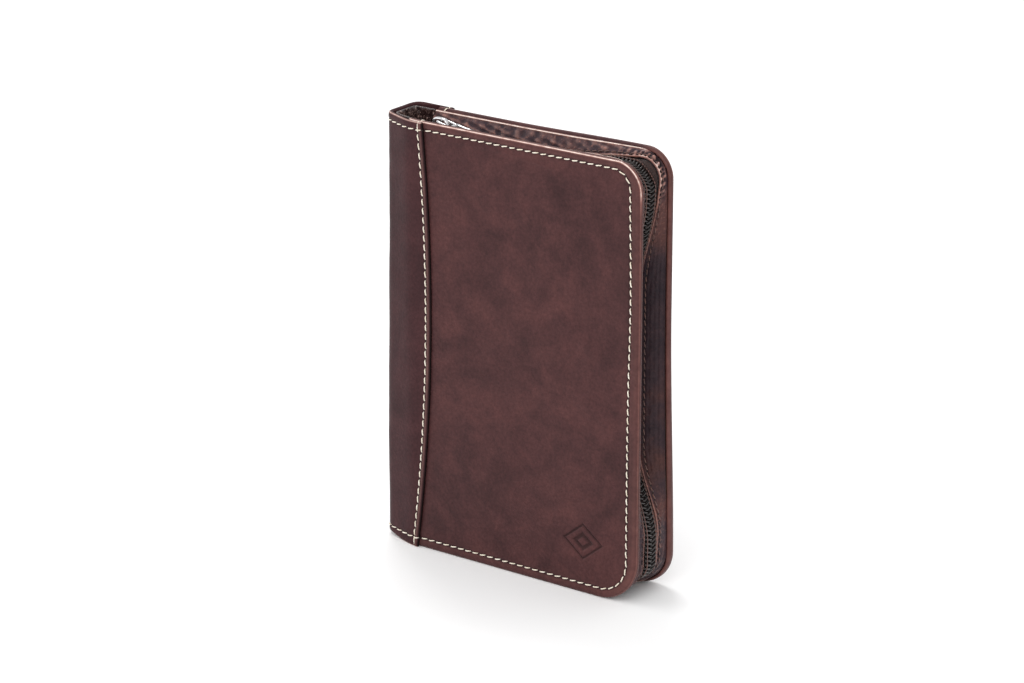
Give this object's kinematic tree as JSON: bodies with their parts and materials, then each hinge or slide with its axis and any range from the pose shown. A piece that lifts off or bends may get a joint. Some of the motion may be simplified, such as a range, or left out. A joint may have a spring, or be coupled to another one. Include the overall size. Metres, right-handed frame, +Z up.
{
  "type": "zip around wallet",
  "caption": "Slim leather wallet in book form, closed on its three open sides by a coil zip in a leather gusset, with a stitched spine panel and inner pockets.",
  "frame": {"origin": "middle of the footprint, on the surface that the closed wallet stands on", "axes": "+X from the spine to the fore-edge, +Y from the front cover to the back cover, +Z up along the covers' height"},
  "size_m": [0.1014, 0.0202, 0.145],
  "materials": {
    "cover_leather": "smooth waxed brown leather with soft mottling",
    "spine_leather": "smooth waxed brown leather, slightly darker",
    "gusset_leather": "thin dark brown leather",
    "lining_leather": "glazed dark brown leather",
    "pocket_leather": "smooth brown leather",
    "cover_board": "grey-brown bookbinding board",
    "stiffener_board": "grey-brown bookbinding board",
    "edge_thread": "waxed cream sewing thread",
    "seam_thread": "waxed cream sewing thread",
    "zip_coil": "black-brown nylon coil",
    "zip_tape": "dark brown woven tape",
    "zip_stop": "black-brown moulded nylon",
    "nickel": "polished nickel plate"
  },
  "bodies": {
    "back_half": {"back_cover_board": "cover_board", "back_cover_leather": "cover_leather", "back_edge_thread": "edge_thread", "back_gusset": "gusset_leather", "back_lining": "lining_leather", "back_seam_thread": "seam_thread", "back_slip_pocket": "pocket_leather", "back_top_stop": "zip_stop", "back_zip_coil": "zip_coil", "back_zip_tape": "zip_tape", "bottom_stop": "zip_stop", "passport_pocket": "pocket_leather", "spine_panel_back": "spine_leather"},
    "spine": {"spine_panel_centre": "spine_leather", "spine_stiffener": "stiffener_board", "spine_lining": "lining_leather", "spine_fold_front": "spine_leather", "spine_fold_back": "spine_leather", "lining_fold_front": "lining_leather", "spine_edge_thread": "edge_thread"},
    "front_half": {"card_pocket_1": "pocket_leather", "card_pocket_2": "pocket_leather", "card_pocket_3": "pocket_leather", "front_cover_board": "cover_board", "front_cover_leather": "cover_leather", "front_edge_thread": "edge_thread", "front_gusset": "gusset_leather", "front_lining": "lining_leather", "front_seam_thread": "seam_thread", "front_slip_pocket": "pocket_leather", "front_top_stop": "zip_stop", "front_zip_coil": "zip_coil", "front_zip_tape": "zip_tape", "spine_panel_front": "spine_leather"},
    "slider": {"slider_body": "nickel", "slider_bridge": "nickel"},
    "pull_tab": {"pull_tab": "nickel"}
  },
  "joints": [
    {"name": "spine_fold", "type": "hinge", "parent": "back_half", "child": "spine", "pos_m": [-0.04945, 0.0088, 0], "axis": [0, 0, -1], "range_deg": [0, 90], "deforming": ["spine_fold_back"]},
    {"name": "cover_fold", "type": "hinge", "parent": "spine", "child": "front_half", "pos_m": [-0.04807, -0.00743, 0], "axis": [0, 0, -1], "range_deg": [0, 90], "deforming": ["spine_fold_front", "lining_fold_front"]},
    {"name": "slider_travel", "type": "slide", "parent": "back_half", "child": "slider", "axis": [1, 0, 0], "range_m": [0, 0.025]},
    {"name": "pull_tab_swing", "type": "hinge", "parent": "slider", "child": "pull_tab", "pos_m": [-0.0327, 0, 0.1434], "axis": [0, -1, 0], "range_deg": [0, 165]}
  ],
  "couplings": [
    {"joint": "cover_fold", "follows": "spine_fold", "ratio": 1}
  ]
}
